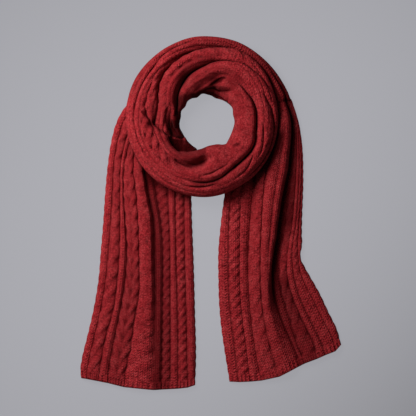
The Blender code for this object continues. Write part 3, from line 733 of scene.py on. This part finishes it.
# The lines run between its knitted columns, from its left edge to its right one, in the CAD's own places:
# name, height at (loop, middle, hem), (y, x) along it
LEFT_LINES = (
    ("left edge", (4, 4, 3), ((220, -165), (207, -176), (191, -185), (179, -190), (150, -198), (107, -205),
                              (47, -211), (-13, -215), (-73, -220), (-133, -225), (-193, -235),
                              (-253, -249), (-290, -258), (-316, -261), (-330, -259))),
    ("edge groove", (6, 5, 4), ((212, -157), (191, -170), (150, -184), (107, -192), (47, -195), (-73, -203),
                                (-133, -209), (-193, -219), (-253, -233), (-317, -246), (-332, -247))),
    ("cable groove", (8, 7, 4), ((200, -147), (150, -169), (107, -179), (47, -181), (-73, -183),
                                 (-133, -187), (-193, -195), (-253, -212), (-317, -223), (-336, -226))),
    ("long fold", (3, 3, 3.5), ((188, -138), (150, -158), (107, -171), (47, -176), (-13, -171), (-73, -167),
                                (-133, -171), (-193, -181), (-253, -193), (-317, -204), (-340, -206))),
    ("panel groove", (13, 11, 4), ((175, -132), (107, -155), (35, -149), (7, -147), (-33, -145),
                                   (-73, -144), (-123, -143), (-153, -143), (-183, -147), (-213, -153),
                                   (-243, -157), (-273, -161), (-297, -167), (-348, -174))),
    ("deep fold", (3, 3, 3.5), ((158, -112.5), (107, -133), (47, -127), (-13, -115), (-73, -113),
                                (-193, -111), (-253, -112), (-354, -115))),
    ("dark groove", (3.5, 3.5, 4), ((156, -94), (107, -114), (47, -111), (-13, -101), (-193, -97),
                                    (-353, -100))),
    ("cable start", (8, 7, 5), ((154, -80), (130, -80), (107, -85), (47, -86), (-13, -83), (-193, -81),
                                (-352, -81))),
    ("cable end", (8, 7, 5), ((153, -68), (130, -62), (107, -68), (80, -70), (47, -70), (-73, -69),
                              (-193, -65), (-351, -64))),
    ("edge rib groove", (6, 5, 4), ((151, -58), (137, -49), (125, -46), (107, -50), (80, -53), (47, -53),
                                    (-73, -52), (-193, -49), (-349, -46))),
    ("right edge", (4, 4, 3), ((151, -50.7), (144, -45.7), (137, -37.7), (130, -28.7), (120, -28.7),
                               (107, -35.7), (90, -39.7), (30, -38.7), (-13, -37.7), (-73, -35.2),
                               (-193, -31.7), (-300, -29.7), (-344, -31.7))),
)

# kind, swell of the fold at (loop, middle, hem), knitted rise (above, below), points across, and how deep in
# shade the column lies at (loop, middle, over the knee, knee, under the knee, hem), or below 0 how lit it is
LEFT_COLUMNS = (
    ("rib", (1.5, 1.5, 1), (3.6, 3.6), 10, (0, 0, 0, 0, 0, 0)),
    ("wide", (3, 3, 2), (4.8, 4.8), 18, (0, 0, 0, 0, 0, 0)),
    ("rib", (4, 3, 2), (3.6, 3.6), 10, (0.1, 0.1, 0.1, 0.15, 0.2, 0.35)),
    ("wide back", (6, 4, 2), (5.2, 5.2), 24, (0.22, 0.3, 0.4, 0.42, 0.42, 0.35)),
    ("roll", (6, 5, 3.5), (1.6, 2.0), 26, (-0.1, -0.25, -0.25, -0.25, -0.2, -0.2)),
    ("rib", (2, 2.5, 1.5), (2.0, 2.4), 9, (0.65, 0.68, 0.68, 0.68, 0.7, 0.78)),
    ("cable", (1, 1, 1), (3.4, 3.4), 14, (0.45, 0.58, 0.58, 0.58, 0.6, 0.6)),
    ("rib", (2, 1.5, 1), (3.4, 3.4), 11, (0.25, 0.25, 0.25, 0.25, 0.3, 0.25)),
    ("cable", (1, 1, 1), (3.4, 3.4), 14, (0.15, 0.15, 0.15, 0.15, 0.15, 0.15)),
    ("rib", (1.5, 1.5, 1), (3.4, 3.4), 10, (0.2, 0.2, 0.2, 0.2, 0.25, 0.35)),
)


def column_relief(kind, part, along):
    """Height of a column's knit, part of the way across it."""
    single = rib(part)
    if kind == "brink":
        pair = abs(np.sin(math.pi * np.where(part < 0.52, part / 0.52, (part - 0.52) / 0.48))) ** 0.7
        return single + (pair - single) * between(along, (60, 40), (330, 60))
    if kind == "cable":
        return narrow_cable(part, along, 1)
    if kind == "wide":
        return 0.25 * single + 0.75 * rope(part, along, WIDE_PITCH, 1)
    if kind == "wide back":
        return 0.25 * single + 0.75 * rope(1 - abs(2 * part - 1), along + 15, BACK_PITCH, -1)
    if kind == "roll":
        return 0.4 * single + 1.2 * rope(part, along + 8, WIDE_PITCH, 1)
    return single * 0.92


def column_form(kind, part, share):
    """How far a column has gone over to its far line's height, and how much it arches. A brink and a roll
    stay high nearly to the far line, then drop to it: sharply, or where they are slack, in a round slope."""
    if kind == "brink":
        slack = ease((share - 0.58) / 0.2)
        crest, start, end = 0.8, 0.66 - 0.3 * slack, 0.9
    elif kind == "roll":
        slack = 0.65 + 0.35 * ease((share - 0.3) / 0.3)
        crest, start, end = 0.95, 0.7, 1.0
    else:
        return ease(part), math.sqrt(math.sin(math.pi * part))
    drop = np.clip((part - start) / (end - start), 0, 1)
    sharp = 1 - np.sqrt(1 - drop * drop)
    blend = sharp + (ease(drop) - sharp) * slack
    return blend, math.sqrt(math.sin(math.pi * min(part / crest, 0.72))) * (1 - blend)


def tail_lines(lines, seam, share):
    """The lines' x, y and z down the tail. Those that start at the seam with the loop start on it."""
    (x1, y1), (x2, y2) = seam
    tilt = (y2 - y1) / (x2 - x1)
    found = []
    for name, heights, points in lines:
        start = points[0][1]
        if start > min(x1, x2) - 1:
            points = ((y1 + (start - x1) * tilt + 1.6, start),) + points[1:]
        y = points[0][0] + (points[-1][0] - points[0][0]) * share
        found.append((curve(points, y), y, curve(tuple(zip(FORM_STOPS, heights)), share)))
    return zip(*found)


def tail_cloth(name, lines, columns, seam, seam_clock, lip):
    """A tail's shell: its folds' smooth form first, then ribs and cables along its normal, and the hem welt.
    It starts at the height of the stretch of the loop that it runs on from, and lip above that."""
    first_tail = name == "tail_left"
    share = np.linspace(0, 1, TAIL_ROWS)
    x_lines, y_lines, z_lines = tail_lines(lines, seam, share)
    xs, ys, zs, reliefs, across, shades = [], [], [], [], [], []
    down = y_lines[5][0] - y_lines[5]
    to_hem = down[-1] - down
    passed = 0.0
    for k, (kind, swells, rises, points, darks) in enumerate(columns):
        swell = curve(tuple(zip(FORM_STOPS, swells)), share)
        rise = rises[0] + (rises[1] - rises[0]) * ease((share - 0.56) / 0.16)
        # How deep the column's painted shade is at this share of the way down.
        dark = np.interp(share, SHADE_STOPS, darks)
        width = NARROW_WIDTHS.get(kind, WIDE_WIDTH)
        crest_shade = CREST_SHADE.get(kind, 1.0)
        last = k == len(columns) - 1
        for step in range(points + last):
            part = step / points
            blend, arch = column_form(kind, part, share)
            at_edge = last * part ** 2 - (k == 0) * (1 - part) ** 2
            scallop = at_edge * (abs(np.sin(math.pi * down / NARROW_PITCH)) - 0.5)
            xs.append(x_lines[k] + (x_lines[k + 1] - x_lines[k]) * part + scallop)
            ys.append(y_lines[k] + (y_lines[k + 1] - y_lines[k]) * part)
            zs.append(z_lines[k] + (z_lines[k + 1] - z_lines[k]) * blend + swell * arch)
            across.append(np.full(TAIL_ROWS, passed + width * part))
            reliefs.append(rise * column_relief(kind, np.full(TAIL_ROWS, part), down))
            shades.append(dark * (crest_shade + (1 - crest_shade) * ease((part - 0.76) / 0.14)))
        passed += width
    x, y, z, relief, across, shade = (np.array(value).T for value in (xs, ys, zs, reliefs, across, shades))
    along = np.repeat(down[:, None], x.shape[1], axis=1)
    welt = ease((WELT - to_hem) / 3)[:, None]
    relief = relief * (1 - welt) + (2.6 + 1.1 * np.sin(2 * math.pi * across / 6.0)) * welt
    relief *= 1 + 0.12 * wobble(x, y, size=60, seed=5)

    # The tongue is the smooth cloth that shows in the pocket, where the tail slips under the front's rim.
    tongue = ease((TONGUE - down) / 8)[:, None] * between(x, (-100, 10), (-10, 8))
    relief *= 1 - 0.9 * tongue
    z = z + 2.0 * tongue * ease(1 - down / 9)[:, None]
    z = z + 0.5 * wobble(x, y, size=110, seed=8)
    clock, radius = loop_polar(x[:1], y[:1], seam_clock)
    met = loop_top(clock, radius, EDGE, EDGE)
    if first_tail:
        met = np.minimum(met, LOWER_TOP)
    else:
        met = tucked(met, radius - spiral(INNER, clock), FLANK[-1][1])
    z += (met + lip - z[0]) * ease(1 - down / 45)[:, None] * ease((x - seam[0][0] + 8) / 8)
    z[0] -= LAP
    relief *= ease((from_ends(x.shape[1]) + 1) / 4)[None, :]
    relief *= ease((to_hem[:, None] + 1.5) / 4)
    normal = facing(x, y, z)
    sideways = relief * ease(np.arange(TAIL_ROWS) / 6)[:, None]
    x, y, z = x + normal[..., 0] * sideways, y + normal[..., 1] * sideways, z + normal[..., 2] * relief

    # Near the loop it is rounded down under the strip that lies on it. Painted shade darkens it beside
    # that strip, and in the tongue.
    clock, radius = loop_polar(x, y, 225 if first_tail else 110)
    rim = np.where(clock > 185, spiral(INNER, clock) - radius, -99)
    outside = np.maximum(radius - spiral(OUTER, clock), rim)
    z = tucked(z, np.where(y > -30, outside, 99))
    shade = soften(shade, 2) + 0.72 * tongue * ease((down - 4) / 5)[:, None]
    contact_shade = 0.3 if first_tail else curve(SECOND_CONTACT_SHADE, clock)
    shade += contact_shade * ease(1.2 - outside / 20) * (outside > -1) * ease((190 - y) / 40)
    cloth_shell(name, x, y, np.maximum(z, 2.2), np.zeros_like(x), across, along, shade,
                darkest_fold_shade=0.35)


seam = on_loop(-131, spiral(INNER, -131)), on_loop(-107, spiral(OUTER, -107))
tail_cloth("tail_left", LEFT_LINES, LEFT_COLUMNS, seam, seam_clock=-120, lip=1.5)

# ---------------------------------------------------------------- tail_right
# The second tail, which runs on from the second turn and out from under the first. It is knitted in the same
# columns the other way round. One deep fold runs down it, and its hem swings out.
# The tables give what the first tail's do.
RIGHT_LINES = (
    ("left edge", (4, 4, 3), ((204, 58), (170, 56), (127, 46.5), (83, 33.5), (33, 27), (-23, 20),
                              (-73, 15.5), (-133, 15.5), (-173, 16.5), (-223, 20.5), (-273, 27.5),
                              (-337, 38))),
    ("edge rib groove", (6, 5, 4), ((206, 68), (171, 65), (127, 57), (83, 47), (33, 41), (-73, 38),
                                    (-173, 40), (-223, 45), (-273, 51), (-338, 58))),
    ("cable end", (7, 6, 5), ((208, 79), (172, 77), (127, 71), (83, 65), (33, 61), (-73, 58), (-173, 60),
                              (-223, 65), (-273, 72), (-337, 79))),
    ("deep fold", (3.5, 3, 4), ((213, 102), (173, 103), (127, 98), (83, 90), (33, 84), (-23, 79), (-73, 76),
                                (-133, 76), (-173, 78), (-223, 83), (-273, 90), (-335, 102))),
    ("panel line", (17, 14, 6), ((218, 123), (174, 126), (127, 121), (83, 111), (33, 105), (-23, 102),
                                 (-73, 100), (-133, 100), (-173, 102), (-223, 109), (-273, 121),
                                 (-327, 138))),
    ("long fold", (2.5, 2.5, 4), ((224, 150), (193, 162.5), (161, 164.5), (127, 161), (93, 158.5),
                                  (61, 151.5), (27, 144.5), (-6, 139), (-39, 134), (-73, 128.5),
                                  (-106, 124.5), (-139, 124.5), (-173, 129.5), (-190, 134), (-213, 142),
                                  (-264, 165), (-304, 182))),
    ("fold side", (5.5, 5.5, 4.5), ((225, 153), (193, 166), (161, 169), (127, 167), (93, 165), (61, 161),
                                    (27, 156), (-6, 151), (-39, 147), (-73, 141), (-106, 138),
                                    (-139, 138.5), (-173, 146), (-206, 156), (-273, 177), (-300, 190))),
    ("cable start", (7, 7, 5), ((226, 155.5), (193, 168.5), (171, 172), (127, 172.5), (83, 171), (33, 168),
                                (-23, 163), (-73, 155), (-123, 153), (-173, 166), (-223, 188), (-259, 206),
                                (-291, 214))),
    ("cable groove", (6, 7, 5), ((227, 157.5), (193, 170), (171, 174.5), (127, 177.5), (83, 178),
                                 (33, 175.5), (-23, 171), (-73, 164), (-123, 167), (-173, 181), (-223, 205),
                                 (-263, 224), (-283, 232))),
    ("edge groove", (5, 5, 5), ((227, 160), (193, 171.5), (171, 176.5), (127, 181.5), (83, 182.5),
                                (33, 181), (-23, 177), (-73, 175), (-123, 182), (-173, 206), (-223, 231),
                                (-243, 242), (-276, 250))),
    ("right edge", (3, 3, 3), ((228, 161.5), (193, 172.5), (171, 178), (150, 181.5), (127, 184),
                               (67, 185.5), (-13, 183), (-43, 182.5), (-63, 183), (-79, 180), (-91, 180.5),
                               (-105, 187), (-129, 200.5), (-157, 216.5), (-199, 236.5), (-233, 253),
                               (-263, 261))),
)
RIGHT_COLUMNS = (
    ("rib", (1.5, 1.5, 1), (3.0, 3.0), 11, (0, 0, 0, 0, 0, 0)),
    ("cable", (1, 1, 1), (4.0, 4.0), 14, (0, 0, 0, 0, 0, 0)),
    ("rib", (2, 1.5, 1), (3.4, 3.4), 11, (0, 0, 0, 0, 0, 0)),
    ("wide", (5, 3, 2), (3.0, 3.4), 18, (0, 0, 0, 0, 0, 0)),
    ("brink", (9, 9, 3.5), (2.8, 3.0), 32, (0.5, 0.7, 0.8, 0.85, 0.8, 0.65)),
    ("rib", (0.5, 0.5, 1), (0.5, 1.0), 9, (0.7, 0.85, 0.9, 0.9, 0.85, 0.5)),
    ("wide", (1, 1, 2), (1.2, 3.0), 16, (0.5, 0.8, 0.3, 0.12, 0.7, 0.5)),
    ("rib", (1, 1, 1.5), (1.2, 2.4), 12, (0.45, 0.48, 0, 0, 0.38, 0.42)),
    ("cable", (1, 1, 2), (1.2, 1.4), 14, (0.45, 0.45, 0, 0.1, 0.25, 0.3)),
    ("rib", (1, 1, 1), (1.6, 2.4), 11, (0.55, 0.55, 0.2, 0.2, 0.25, 0.2)),
)

seam = on_loop(77, spiral(INNER, 437)), on_loop(77, spiral(OUTER, 437))
tail_cloth("tail_right", RIGHT_LINES, RIGHT_COLUMNS, seam, seam_clock=437, lip=0)
